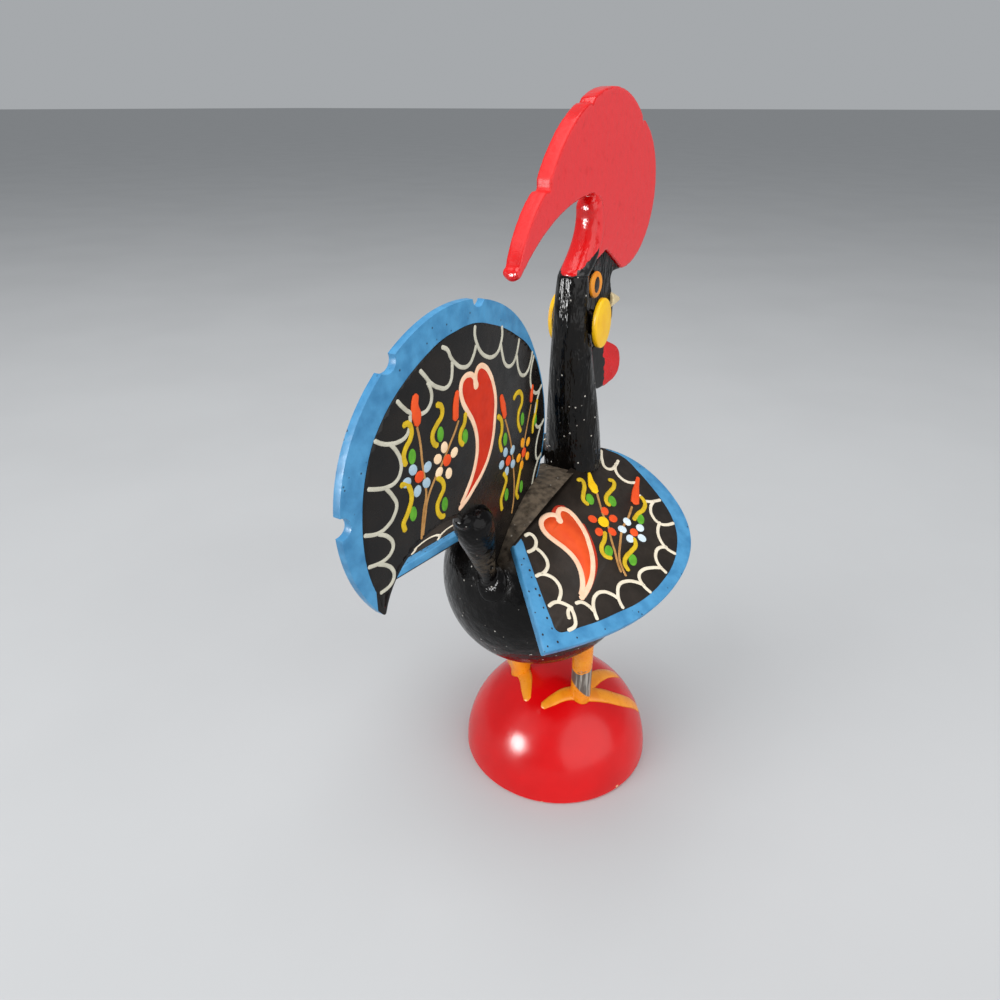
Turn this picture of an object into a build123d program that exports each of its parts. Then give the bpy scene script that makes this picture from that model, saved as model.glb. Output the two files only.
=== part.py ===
# Barcelos rooster: a small table ornament of painted cast metal on a turned wooden dome.
# Millimetres, +Z up. The origin is the centre of the dome's underside and the beak points to -Y.

import os
from math import asin, cos, degrees, radians, sin, sqrt, tan

from build123d import *

os.makedirs("parts", exist_ok=True)

# Turned dome that the bird stands on
base_radius = 23.0
base_height = 23.0
base_edge = 0.6

# Leg rods, glued into the dome and into the belly
leg_diameter = 4.8
leg_half_gauge = 8.4
leg_y = 4.0
leg_socket = 9.0
leg_tenon = 6.0
leg_fit = 0.1

# Egg-shaped body, breast a little higher than the rump
body_radius = 20.6
body_front = 28.0
body_rear = 22.5
body_tilt = 5.0
body_y = 10.5
belly_clearance = 15.4

# Neck column, set in the back of the body and leaning back a little
neck_foot_radius = 5.7
neck_middle_radius = 4.9
neck_throat_radius = 3.7
neck_top_radius = 3.0
neck_foot_share = 0.493
neck_middle_share = 0.62
neck_throat_share = 0.24
neck_lean = 4.3
neck_middle_lean = 2.4
neck_height = 41.1
neck_seat = 3.0
neck_spigot_radius = 3.2
neck_spigot = 7.0

# Flat face in the middle plane: brow, peak and temple under the comb, bill, chin and jaw below
face_thickness = 2.4
face_reach = 16.6
brow_reach = 3.2
brow_drop = 2.2
peak_setback = 5.2
peak_rise = 2.8
temple_reach = 2.9
temple_rise = 1.0
bill_setback = 1.6
bill_drop = 3.2
mouth_drop = 8.0
chin_setback = 4.15
chin_drop = 14.3
jaw_drop = 18.0

# Discs and small plates on the head, placed from the top of the neck
cheek_radius = 2.4
cheek_half_width = 4.2
cheek_ahead = 0.6
cheek_drop = 9.6
eye_radius = 2.6
eye_thickness = 0.9
eye_ahead = 3.4
eye_drop = 3.0
lobe_half_width = 3.5
lobe_half_height = 4.9
lobe_thickness = 1.2
beak_radius = 2.2
beak_length = 7.4
beak_tip_radius = 0.5
beak_droop = 9.0
beak_setback = 1.8
beak_drop = 7.8
wattle_thickness = 2.0
wattle_reach = 11.4
wattle_height = 12.4
wattle_root = 1.8
wattle_rim = ((0.52, 0.27), (0.96, 0.59), (0.96, 0.83), (0.49, 1.0), (0.05, 0.985))

# Comb plate and the round stalk that carries it; pairs are shares of its length and height
comb_thickness = 2.4
comb_rise = 31.4
comb_front = 34.6
comb_back = 22.6
comb_spur_drop = 3.9
comb_spur_width = 1.4
comb_spur_round = 1.2
comb_spur_back = (0.84, 0.36)
comb_notch_rear = (0.59, 0.52)
comb_rear_lobe = (0.3, 0.775)
comb_notch_top = (-0.05, 0.93)
comb_top_lobe = (-0.38, 1.0)
comb_notch_front = (-0.735, 0.83)
comb_front_lobe = (-1.0, 0.33)
comb_arch = (0.41, 0.357)
comb_arch_start = (-0.14, 0.44)
stalk_height = 11.2
stalk_stations = ((0.44, 4.9, 2.95), (0.72, 6.0, 2.7), (1.0, 5.6, 2.4))
comb_peg_radius = 1.5
comb_peg = 6.0

# Wings: flat plates on the shoulders, sloping like a roof
wing_thickness = 1.8
wing_root = 36.4
wing_span = 30.2
wing_rear = 14.4
wing_rear_drop = 16.4
wing_nose = 40.4
wing_slope_angle = 31.0
wing_pitch_angle = 11.2
wing_half_gap = 3.4
left_wing_out = 3.6
left_wing_rise = 0.8
wing_rear_share = 0.787
wing_rear_rise = 3.9
wing_rim = ((0.15, 0.907), (0.52, 1.0), (0.91, 0.9))
wing_nose_share = 0.5
wing_stud_radius = 1.6
wing_stud = 4.0
wing_stud_shares = ((0.28, 0.24), (0.66, 0.24))

# Tail: a gently bent fan in the middle plane, cast with a thick root lug
tail_thickness = 1.3
tail_half_length = 29.2
tail_half_height = 27.8
tail_back = 7.37
tail_lift = 3.26
tail_bend_radius = 150.0
tail_tip = (0.771, -0.659)
tail_front = (-0.853, -0.601)
tail_rim = (
    (0.975, -0.22), (0.965, 0.25), (0.808, 0.6), (0.572, 0.837), (0.284, 0.97),
    (-0.305, 0.909), (-0.613, 0.719), (-0.88, 0.406), (-1.085, -0.1),
)
tail_arch = 5.2
tail_root_depth = 4.5
tail_seat = 1.6
tail_seat_shares = (0.35, 0.62)
tail_nick_radius = 1.8
tail_nicks = ((0.995, 0.01), (0.637, 0.805), (-0.099, 0.99))
lug_radius = 3.9
lug_toe_radius = 1.4
lug_height = 22.8
lug_shoulder_share = 0.89
lug_arch_share = 1.1
lug_lean_angle = 18.5
lug_share = 0.868

# Clearances of the glued seats
seat_fit = 0.1

# Heights and directions worked out from the sizes above
body_z = base_height + belly_clearance + body_radius
body_axis_dir = (0, cos(radians(body_tilt)), -sin(radians(body_tilt)))
body_plane = Plane(origin=(0, body_y, body_z), x_dir=body_axis_dir, z_dir=(1, 0, 0))
flank_plane = Plane(origin=body_plane.origin, x_dir=body_plane.x_dir, z_dir=body_plane.y_dir)


def body_half_height(y):
    """Height of the egg above its own axis at a station along the bird."""
    half_length = body_rear if y > body_y else body_front
    share = (y - body_y) / (half_length * cos(radians(body_tilt)))
    return body_radius * sqrt(1 - share**2)


def body_axis_z(y):
    """Height of the egg's tilted axis at a station along the bird."""
    return body_z - (y - body_y) * tan(radians(body_tilt))


def body_top_z(y):
    """Height of the egg's back in the middle plane at a station along the bird."""
    return body_axis_z(y) + body_half_height(y)


def side_plane(y, z):
    """Upright plane along the bird, with local x to the rear and local y up."""
    return Plane(origin=(0, y, z), x_dir=(0, 1, 0), z_dir=(1, 0, 0))


leg_low = sqrt(base_radius**2 - leg_half_gauge**2 - leg_y**2) * base_height / base_radius - leg_socket
leg_belly = body_axis_z(leg_y) - sqrt(body_half_height(leg_y) ** 2 - leg_half_gauge**2)
leg_high = leg_belly + leg_tenon
leg_spots = {"left_leg": leg_half_gauge, "right_leg": -leg_half_gauge}

neck_foot_y = body_y - body_front * neck_foot_share
neck_foot_z = body_top_z(neck_foot_y)
neck_top_y = neck_foot_y + neck_lean
neck_top_z = neck_foot_z + neck_height
crown = side_plane(neck_top_y, neck_top_z)

# Line on which the comb sits on the face, in the crown plane
seat_front = Vector(-face_reach - brow_reach, -brow_drop)
seat_peak = Vector(-face_reach + peak_setback, peak_rise)
seat_rear = Vector(-neck_top_radius - temple_reach, temple_rise)
seat_neck = Vector(-neck_top_radius, 0)
seat_gap = Vector(0, seat_fit)

# Spots on the head, in the crown plane
eye_spot = Vector(-neck_top_radius - eye_ahead, -eye_drop)
cheek_spot = Vector(-neck_top_radius - cheek_ahead, -cheek_drop)
beak_spot = Vector(-face_reach + beak_setback, -beak_drop)
chin = Vector(-face_reach + chin_setback, -chin_drop)
jaw = Vector(-neck_throat_radius, -jaw_drop)

wing_root_dir = (0, cos(radians(wing_pitch_angle)), -sin(radians(wing_pitch_angle)))
wing_up = Vector(
    -sin(radians(wing_slope_angle)),
    cos(radians(wing_slope_angle)) * sin(radians(wing_pitch_angle)),
    cos(radians(wing_slope_angle)) * cos(radians(wing_pitch_angle)),
)
wing_rear_y = body_y + body_rear * wing_rear_share
wing_corner = Vector(-wing_half_gap, wing_rear_y, body_top_z(wing_rear_y) + wing_rear_rise)
wing_plane = Plane(origin=wing_corner, x_dir=wing_root_dir, z_dir=wing_up)
wing_under = wing_plane.offset(-wing_thickness)
wing_stud_spots = [(-wing_root * along, wing_span * out) for along, out in wing_stud_shares]

lug_y = body_y + body_rear * lug_share
lug_low_z = body_top_z(lug_y) - tail_root_depth
lug_dir = (0, sin(radians(lug_lean_angle)), cos(radians(lug_lean_angle)))
lug_plane = Plane(origin=(0, lug_y, lug_low_z), x_dir=(0, lug_dir[2], -lug_dir[1]), z_dir=(1, 0, 0))

tail_y = lug_y + tail_back
tail_z = lug_low_z + tail_lift + tail_half_height
tail_plane = side_plane(tail_y, tail_z)


def wing_on_side(side_name, margin, lift):
    """Flat wing with its studs, grown by a margin and made taller by a lift."""
    with BuildPart() as plate:
        with BuildSketch(wing_under):
            with BuildLine():
                rear_edge = Line((0, 0), (wing_rear, wing_rear_drop))
                rim = Spline(
                    rear_edge @ 1,
                    *[(-wing_root * along, wing_span * out) for along, out in wing_rim],
                    (-wing_nose, wing_span * wing_nose_share),
                    (-wing_root, 0),
                )
                Line(rim @ 1, (0, 0))
            make_face()
            if margin:
                offset(amount=margin)
        extrude(amount=wing_thickness + lift)
        with BuildSketch(wing_under):
            with Locations(*wing_stud_spots):
                Circle(wing_stud_radius + margin)
        extrude(amount=-wing_stud - margin)
    if side_name == "right":
        return plate.part
    return plate.part.mirror(Plane.YZ).moved(Location((left_wing_out, 0, left_wing_rise)))


def tail_spot(share):
    """Point of the fan's outline from its shares of the half length and half height."""
    along, up = share
    return Vector(along * tail_half_length, up * tail_half_height)


def tail_plate(thickness):
    """Fan outline in the middle plane, cut from a sheet bent about an upright axis."""
    with BuildPart() as plate:
        with BuildSketch(tail_plane):
            with BuildLine():
                rim = Spline(*[tail_spot(share) for share in (tail_tip, *tail_rim, tail_front)])
                lug_side = Vector(lug_radius, lug_height * lug_arch_share, 0)
                arch_end = tail_plane.to_local_coords(lug_plane.from_local_coords(lug_side))
                tip = rim @ 0
                arch_top = (tip + arch_end) / 2 + Vector(0, tail_arch)
                ThreePointArc(tip, arch_top, arch_end)
                toe = Vector(lug_y - tail_y, lug_low_z - tail_z)
                front = rim @ 1
                seat_stations = [lug_y - (toe.X - front.X) * (1 - share) for share in tail_seat_shares]
                seat_line = [Vector(y - tail_y, body_top_z(y) - tail_seat - tail_z) for y in seat_stations]
                Polyline(arch_end, toe, *reversed(seat_line), front)
            make_face()
            with Locations(*[tail_spot(share) for share in tail_nicks]):
                Circle(tail_nick_radius, mode=Mode.SUBTRACT)
        extrude(amount=tail_half_length, both=True)
        with BuildSketch(Plane.XY.offset(lug_low_z - tail_root_depth)):
            with Locations((tail_bend_radius, tail_y)):
                Circle(tail_bend_radius + thickness / 2)
                Circle(tail_bend_radius - thickness / 2, mode=Mode.SUBTRACT)
        extrude(amount=2 * (tail_half_height + tail_z - lug_low_z), mode=Mode.INTERSECT)
    return plate.part


def tail_lug(margin):
    """Thumb-shaped root of the tail, round about its leaning axis."""
    shoulder = lug_height * lug_shoulder_share
    with BuildPart() as lug:
        with BuildSketch(lug_plane):
            with BuildLine():
                toe = Line((0, -margin), (lug_toe_radius + margin, -margin))
                Spline(
                    toe @ 1,
                    (lug_radius + margin, shoulder),
                    tangents=((0.2, 1), (0, 1)),
                )
                EllipticalCenterArc(
                    (0, shoulder),
                    lug_radius + margin,
                    lug_height - shoulder + margin,
                    start_angle=0,
                    arc_size=90,
                )
                Line((0, lug_height + margin), (0, -margin))
            make_face()
        revolve(axis=Axis((0, lug_y, lug_low_z), lug_dir))
    return lug.part


# The base: a wooden half ball with two blind sockets for the legs
with BuildPart() as base_dome:
    with BuildSketch(Plane.XZ):
        with BuildLine():
            edge_angle = degrees(asin(base_edge / base_height))
            skin = EllipticalCenterArc(
                (0, 0), base_radius, base_height, start_angle=edge_angle, arc_size=90 - edge_angle
            )
            Polyline(skin @ 1, (0, 0), (base_radius - base_edge, 0), skin @ 0)
        make_face()
    revolve(axis=Axis.Z)
    with Locations(*[(x, leg_y, leg_low) for x in leg_spots.values()]):
        Cylinder(
            leg_diameter / 2 + leg_fit,
            base_height,
            align=(Align.CENTER, Align.CENTER, Align.MIN),
            mode=Mode.SUBTRACT,
        )
base_dome.part.label = "base_dome"
export_step(base_dome.part, "parts/base_dome.step")

# Two plain metal rods from the dome to the belly
for leg_name, leg_x in leg_spots.items():
    with BuildPart() as leg:
        with BuildSketch(Plane.XY.offset(leg_low)):
            with Locations((leg_x, leg_y)):
                Circle(leg_diameter / 2)
        extrude(amount=leg_high - leg_low)
    leg.part.label = leg_name
    export_step(leg.part, f"parts/{leg_name}.step")

# The wings: cast plates with two studs under them, cleared round the neck's foot
for side_name in ("right", "left"):
    with BuildPart() as wing:
        add(wing_on_side(side_name, 0, 0))
        with Locations((0, neck_foot_y, neck_foot_z - neck_seat)):
            Cylinder(
                neck_foot_radius + seat_fit,
                neck_height,
                align=(Align.CENTER, Align.CENTER, Align.MIN),
                mode=Mode.SUBTRACT,
            )
    wing.part.label = f"{side_name}_wing"
    export_step(wing.part, f"parts/{side_name}_wing.step")

# The tail: the bent fan and its lug in one casting
with BuildPart() as tail_fan:
    add(tail_plate(tail_thickness))
    add(tail_lug(0))
tail_fan.part.label = "tail_fan"
export_step(tail_fan.part, "parts/tail_fan.step")

# The body: an egg with flats for the wings, a slot for the tail and sockets for neck and legs
with BuildPart() as body:
    with BuildSketch(flank_plane):
        with BuildLine():
            EllipticalCenterArc((0, 0), body_rear, body_radius, start_angle=0, arc_size=90)
            EllipticalCenterArc((0, 0), body_front, body_radius, start_angle=90, arc_size=90)
            Line((-body_front, 0), (body_rear, 0))
        make_face()
    revolve(axis=Axis(body_plane.origin, body_plane.x_dir))
    add(wing_on_side("right", seat_fit, body_radius), mode=Mode.SUBTRACT)
    add(wing_on_side("left", seat_fit, body_radius), mode=Mode.SUBTRACT)
    add(tail_plate(tail_thickness + 2 * seat_fit), mode=Mode.SUBTRACT)
    add(tail_lug(seat_fit), mode=Mode.SUBTRACT)
    with Locations((0, neck_foot_y, neck_foot_z - neck_seat)):
        Cylinder(
            neck_foot_radius + seat_fit,
            neck_height,
            align=(Align.CENTER, Align.CENTER, Align.MIN),
            mode=Mode.SUBTRACT,
        )
        Cylinder(
            neck_spigot_radius + seat_fit,
            neck_spigot + seat_fit,
            align=(Align.CENTER, Align.CENTER, Align.MAX),
            mode=Mode.SUBTRACT,
        )
    with Locations(*[(x, leg_y, leg_high) for x in leg_spots.values()]):
        Cylinder(
            leg_diameter / 2 + leg_fit,
            leg_high - leg_low,
            align=(Align.CENTER, Align.CENTER, Align.MAX),
            mode=Mode.SUBTRACT,
        )
body.part.label = "body"
export_step(body.part, "parts/body.step")

# Outlines of the face and of the wattle in the middle plane
with BuildSketch(crown) as face_outline:
    with BuildLine():
        bill = Vector(-face_reach + bill_setback, -bill_drop)
        Polyline((0, -neck_top_radius), seat_neck, seat_rear, seat_peak, seat_front)
        Spline(seat_front, bill, (-face_reach, -mouth_drop), chin)
        Polyline(chin, jaw, (0, -jaw_drop), (0, -neck_top_radius))
    make_face()

with BuildSketch(crown) as wattle_outline:
    with BuildLine():
        wattle_top = chin - seat_gap
        lobe = Spline(
            wattle_top,
            *[wattle_top - Vector(wattle_reach * out, wattle_height * down) for out, down in wattle_rim],
        )
        throat_x = wattle_root - neck_middle_lean - neck_middle_radius
        throat = Vector(throat_x, -neck_height * neck_middle_share)
        Polyline(lobe @ 1, throat, jaw - seat_gap, wattle_top)
    make_face()

# The neck and head: a tapering column, the flat face and the cheek bosses in one casting
with BuildPart() as neck:
    neck_stations = (
        (neck_height + neck_seat, neck_lean, neck_foot_radius),
        (neck_height * neck_middle_share, neck_middle_lean, neck_middle_radius),
        (neck_height * neck_throat_share, 0, neck_throat_radius),
        (0, 0, neck_top_radius),
    )
    for drop, ahead, radius in neck_stations:
        with BuildSketch(Plane.XY.offset(neck_top_z - drop)):
            with Locations((0, neck_top_y - ahead)):
                Circle(radius)
    loft()
    extrude(face_outline.sketch, amount=face_thickness / 2, both=True)
    with BuildSketch(crown):
        with Locations(cheek_spot):
            Circle(cheek_radius)
    extrude(amount=cheek_half_width, both=True)
    with Locations((0, neck_foot_y, neck_foot_z - neck_seat)):
        Cylinder(
            neck_spigot_radius, neck_spigot, align=(Align.CENTER, Align.CENTER, Align.MAX)
        )
    with Locations((0, neck_top_y, neck_top_z)):
        Cylinder(
            comb_peg_radius + seat_fit,
            comb_peg + seat_fit,
            align=(Align.CENTER, Align.CENTER, Align.MAX),
            mode=Mode.SUBTRACT,
        )
    extrude(
        wattle_outline.sketch,
        amount=wattle_thickness / 2 + seat_fit,
        both=True,
        mode=Mode.SUBTRACT,
    )
neck.part.label = "neck_and_head"
export_step(neck.part, "parts/neck_and_head.step")

# The wattle: a flat lobe let into the throat
with BuildPart() as wattle:
    extrude(wattle_outline.sketch, amount=wattle_thickness / 2, both=True)
wattle.part.label = "wattle"
export_step(wattle.part, "parts/wattle.step")


def comb_spot(share):
    """Point of the comb's outline from its shares of the length and of the height."""
    along, up = share
    return Vector(along * (comb_back if along > 0 else comb_front), up * comb_rise)


# The comb: a flat plate of four lobes with a hooked spur, on a leaning round stalk
with BuildPart() as comb:
    with BuildSketch(crown):
        with BuildLine():
            spur_low = Vector(comb_back - comb_spur_width / 2, comb_spur_drop - comb_spur_width / 2)
            spur_high = Vector(comb_back, comb_spur_drop + comb_spur_width / 2)
            spur_out = (spur_high - spur_low).rotate(Axis.Z, -90).normalized() * comb_spur_round
            spur = ThreePointArc(spur_low, (spur_low + spur_high) / 2 + spur_out, spur_high)
            ThreePointArc(spur @ 1, comb_spot(comb_spur_back), comb_spot(comb_notch_rear))
            ThreePointArc(comb_spot(comb_notch_rear), comb_spot(comb_rear_lobe), comb_spot(comb_notch_top))
            ThreePointArc(comb_spot(comb_notch_top), comb_spot(comb_top_lobe), comb_spot(comb_notch_front))
            ThreePointArc(comb_spot(comb_notch_front), comb_spot(comb_front_lobe), seat_front + seat_gap)
            Polyline(
                seat_front + seat_gap,
                seat_peak + seat_gap,
                seat_rear + seat_gap,
                comb_spot(comb_arch_start),
            )
            ThreePointArc(comb_spot(comb_arch_start), comb_spot(comb_arch), spur @ 0)
        make_face()
    extrude(amount=comb_thickness / 2, both=True)
    for share, ahead, radius in ((0, 0, neck_top_radius), *stalk_stations):
        with BuildSketch(Plane.XY.offset(neck_top_z + share * stalk_height)):
            with Locations((0, neck_top_y - ahead)):
                Circle(radius)
    loft()
    with Locations((0, neck_top_y - ahead, neck_top_z + stalk_height)):
        Sphere(radius)
    with Locations((0, neck_top_y, neck_top_z)):
        Cylinder(comb_peg_radius, comb_peg, align=(Align.CENTER, Align.CENTER, Align.MAX))
comb.part.label = "comb"
export_step(comb.part, "parts/comb.step")

# The beak: a small cone slotted over the front edge of the face
beak_dir = (0, -cos(radians(beak_droop)), -sin(radians(beak_droop)))
with BuildPart(Plane(origin=crown.from_local_coords(beak_spot), z_dir=beak_dir)) as beak:
    Cone(
        beak_radius,
        beak_tip_radius,
        beak_length,
        align=(Align.CENTER, Align.CENTER, Align.MIN),
    )
    extrude(face_outline.sketch, amount=face_thickness / 2, both=True, mode=Mode.SUBTRACT)
beak.part.label = "beak"
export_step(beak.part, "parts/beak.step")

# Eyes and ear lobes: round and oval discs glued to the two sides of the head
for side_name, side in (("left", 1), ("right", -1)):
    with BuildPart() as eye:
        with BuildSketch(crown.offset(side * face_thickness / 2)):
            with Locations(eye_spot):
                Circle(eye_radius)
        extrude(amount=side * eye_thickness)
    eye.part.label = f"{side_name}_eye"
    export_step(eye.part, f"parts/{side_name}_eye.step")

    with BuildPart() as ear_lobe:
        with BuildSketch(crown.offset(side * cheek_half_width)):
            with Locations(cheek_spot):
                Ellipse(lobe_half_width, lobe_half_height)
        extrude(amount=side * lobe_thickness)
    ear_lobe.part.label = f"{side_name}_ear_lobe"
    export_step(ear_lobe.part, f"parts/{side_name}_ear_lobe.step")
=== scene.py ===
# Barcelos rooster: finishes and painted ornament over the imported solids, in metres.

from math import cos, pi, radians, sin, sqrt

import bmesh
import bpy
from mathutils import Matrix, Vector


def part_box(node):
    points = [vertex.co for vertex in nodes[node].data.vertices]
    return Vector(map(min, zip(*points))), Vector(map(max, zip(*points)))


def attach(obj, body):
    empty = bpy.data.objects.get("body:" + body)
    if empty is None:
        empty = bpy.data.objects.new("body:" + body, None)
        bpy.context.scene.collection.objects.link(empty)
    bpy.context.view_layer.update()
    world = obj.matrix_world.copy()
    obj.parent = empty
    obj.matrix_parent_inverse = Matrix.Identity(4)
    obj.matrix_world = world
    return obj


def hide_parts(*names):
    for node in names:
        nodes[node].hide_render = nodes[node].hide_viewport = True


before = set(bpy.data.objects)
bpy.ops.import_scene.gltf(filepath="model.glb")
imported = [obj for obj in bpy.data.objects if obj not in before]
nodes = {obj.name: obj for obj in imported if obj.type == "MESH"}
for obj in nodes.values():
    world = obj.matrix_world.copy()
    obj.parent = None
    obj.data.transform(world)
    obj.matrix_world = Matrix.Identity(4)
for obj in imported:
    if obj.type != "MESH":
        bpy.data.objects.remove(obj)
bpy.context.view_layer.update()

# The dome: a half ball of wood turned on a lathe and dipped in glossy red lacquer.
# It stands on its flat underside, and the two legs are glued into holes near its top.
# Its lower edge has a painted highlight of lighter red, and is chipped to the wood in two places.
mm = 0.001
dome_radius = 23.0
dome_chips = ((-21.5, 8.1, 1.0), (-8.1, 21.5, 0.4))
chip_size = 0.7
chip_edge = 0.77
chip_grain = 0.8
# The painted highlight on the lower edge: its band of height and its lighter red.
rim_highlight_low = 0.64
rim_highlight_top = 0.8
rim_highlight_red = (236, 44, 40)
bare_wood = (226, 186, 140)
blotch_range = (0.38, 0.68)
gloss_range = (0.3, 0.7)
speck_pitch = 1.7
speck_core = 0.07
speck_edge = 0.13
speck_patch = 4.0
speck_patch_range = (0.45, 0.51)


def srgb(red, green, blue):
    """Paint colour as a sample card gives it, made linear for the shader."""
    linear = []
    for level in (red / 255, green / 255, blue / 255):
        linear.append(((level + 0.055) / 1.055) ** 2.4 if level > 0.04 else level / 12.92)
    return (*linear, 1.0)


def noise(tree, size, detail=2.0, stretch=1.0):
    """Cloudy pattern with lumps of that size, drawn out upwards by the stretch."""
    place = tree.nodes.new("ShaderNodeMapping")
    place.inputs["Scale"].default_value = (1, 1, 1 / stretch)
    where = tree.nodes["Texture Coordinate"].outputs["Object"]
    tree.links.new(where, place.inputs["Vector"])
    grain = tree.nodes.new("ShaderNodeTexNoise")
    grain.inputs["Scale"].default_value = 1 / (size * mm)
    grain.inputs["Detail"].default_value = detail
    tree.links.new(place.outputs["Vector"], grain.inputs["Vector"])
    return grain.outputs["Fac"]


def spread(tree, value, low, high, at_low=0.0, at_high=1.0):
    """Carries a measure between low and high over to another range."""
    ramp = tree.nodes.new("ShaderNodeMapRange")
    sockets = ("From Min", "From Max", "To Min", "To Max")
    for socket, number in zip(sockets, (low, high, at_low, at_high)):
        ramp.inputs[socket].default_value = number
    tree.links.new(value, ramp.inputs["Value"])
    return ramp.outputs["Result"]


def combine(tree, operation, first, *others):
    """Joins measures, or a measure and numbers, one after the other."""
    for other in others:
        step = tree.nodes.new("ShaderNodeMath")
        step.operation = operation
        tree.links.new(first, step.inputs[0])
        if isinstance(other, float):
            step.inputs[1].default_value = other
        else:
            tree.links.new(other, step.inputs[1])
        first = step.outputs["Value"]
    return first


def axis_of(tree, vector, axis):
    """One axis of a vector."""
    split = tree.nodes.new("ShaderNodeSeparateXYZ")
    tree.links.new(vector, split.inputs["Vector"])
    return split.outputs[axis]


def along(tree, axis):
    """Place along one axis of the object's frame."""
    return axis_of(tree, tree.nodes["Texture Coordinate"].outputs["Object"], axis)


def over(paint, share, colour, rough):
    """Lays a second finish over a paint, as far as the share says."""
    tree = paint.node_tree
    shader = tree.nodes["Principled BSDF"]
    tone = tree.nodes.new("ShaderNodeMix")
    tone.data_type = "RGBA"
    tone.inputs[7].default_value = srgb(*colour)
    matt = tree.nodes.new("ShaderNodeMix")
    matt.inputs[3].default_value = rough
    # A mix of colours has them in sockets 6 and 7, and a mix of numbers in 2 and 3.
    for mix, under, result, name in ((tone, 6, 2, "Base Color"), (matt, 2, 0, "Roughness")):
        tree.links.new(share, mix.inputs[0])
        tree.links.new(shader.inputs[name].links[0].from_socket, mix.inputs[under])
        tree.links.new(mix.outputs[result], shader.inputs[name])


def lacquer(
    name, colour, tint, gloss, blotch=6.0, lump=0.05, lump_size=3.0, drawn=1.0, shine=0.5,
    specks=0.0, speck_colour=(205, 200, 190),
):
    """Hand-laid paint: blotches of a tint, a range of gloss, lumps drawn out upwards and specks."""
    paint = bpy.data.materials.new(name)
    paint.use_nodes = True
    tree = paint.node_tree
    shader = tree.nodes["Principled BSDF"]
    where = tree.nodes.new("ShaderNodeTexCoord").outputs["Object"]
    mix = tree.nodes.new("ShaderNodeMix")
    mix.data_type = "RGBA"
    mix.inputs[6].default_value = srgb(*colour)
    mix.inputs[7].default_value = srgb(*tint)
    shader.inputs["Specular IOR Level"].default_value = shine
    tree.links.new(spread(tree, noise(tree, blotch, 4.0), *blotch_range), mix.inputs[0])
    tree.links.new(mix.outputs[2], shader.inputs["Base Color"])
    rough = spread(tree, noise(tree, blotch / 3, 5.0), *gloss_range, *gloss)
    tree.links.new(rough, shader.inputs["Roughness"])
    relief = tree.nodes.new("ShaderNodeBump")
    relief.inputs["Distance"].default_value = lump * mm
    tree.links.new(noise(tree, lump_size, 3.0, drawn), relief.inputs["Height"])
    tree.links.new(relief.outputs["Normal"], shader.inputs["Normal"])
    if specks:
        cells = tree.nodes.new("ShaderNodeTexVoronoi")
        cells.inputs["Scale"].default_value = 1 / (speck_pitch * mm)
        tree.links.new(where, cells.inputs["Vector"])
        dots = spread(tree, cells.outputs["Distance"], speck_core, speck_edge, specks, 0.0)
        patches = spread(tree, noise(tree, speck_patch), *speck_patch_range)
        over(paint, combine(tree, "MULTIPLY", dots, patches), speck_colour, rough=0.5)
    return paint


def coat_node(name, paint):
    """Gives an imported node its finish."""
    nodes[name].data.materials.clear()
    nodes[name].data.materials.append(paint)


red_dip = lacquer(
    "red_dip", (222, 6, 12), (206, 4, 8), (0.18, 0.26),
    blotch=14, lump=0.03, lump_size=6, shine=0.4,
)
dip_tree = red_dip.node_tree
# A lighter red band round the lower edge: a painted highlight.
painted_rim_highlight = spread(dip_tree, along(dip_tree, "Z"), rim_highlight_low * mm, rim_highlight_top * mm, 1.0, 0.0)
over(red_dip, painted_rim_highlight, rim_highlight_red, rough=0.3)
for chip in dome_chips:
    gap = dip_tree.nodes.new("ShaderNodeVectorMath")
    gap.operation = "DISTANCE"
    gap.inputs[1].default_value = Vector(chip) * mm
    dip_tree.links.new(dip_tree.nodes["Texture Coordinate"].outputs["Object"], gap.inputs[0])
    ragged = combine(dip_tree, "MULTIPLY", noise(dip_tree, chip_grain), chip_size * mm)
    reach = combine(dip_tree, "ADD", gap.outputs["Value"], ragged)
    chipped = spread(dip_tree, reach, chip_size * mm, chip_edge * mm, 1.0, 0.0)
    over(red_dip, chipped, bare_wood, rough=0.7)
coat_node("base_dome", red_dip)

# The toes: amber paint brushed on the dome round each leg, one toe behind and two in front.
# Each toe is one stroke of a full brush that starts at the leg and thins towards its tip.
sides = ((-1, "right"), (1, "left"))
amber_light = (252, 158, 30)
amber_dark = (240, 136, 16)
toe_lift = 0.02
toe_flat = 0.22
stroke_run_out = 0.55
stroke_end = 0.3
sheet_weld = 1e-7
toe_strokes = (
    ((8.0, 4.2, 1.8), (5.6, 6.4, 1.6), (3.7, 9.2, 1.3), (2.2, 11.4, 0.85)),
    ((8.8, 3.8, 1.8), (13.0, -0.6, 1.7), (15.8, -4.2, 1.45), (18.0, -10.6, 0.75)),
    ((8.4, 3.6, 1.8), (9.2, -5.4, 1.6), (11.0, -12.2, 0.9)),
)


def curve_mesh(line, spots, widths=None):
    """Draws a soft curve through spots of a flat sheet, closed if it has no widths, as a mesh."""
    spline = line.splines.new("BEZIER")
    spline.bezier_points.add(len(spots) - 1)
    spline.use_cyclic_u = widths is None
    for index, point in enumerate(spline.bezier_points):
        point.co = spots[index] * mm
        if widths:
            point.radius = widths[index]
    for point in spline.bezier_points:
        point.handle_left_type = point.handle_right_type = "AUTO"
    holder = bpy.data.objects.new(line.name, line)
    bpy.context.scene.collection.objects.link(holder)
    bpy.context.view_layer.update()
    drawn = holder.evaluated_get(bpy.context.evaluated_depsgraph_get())
    mesh = bpy.data.meshes.new_from_object(drawn)
    bpy.data.objects.remove(holder)
    bpy.data.curves.remove(line)
    return mesh


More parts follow.
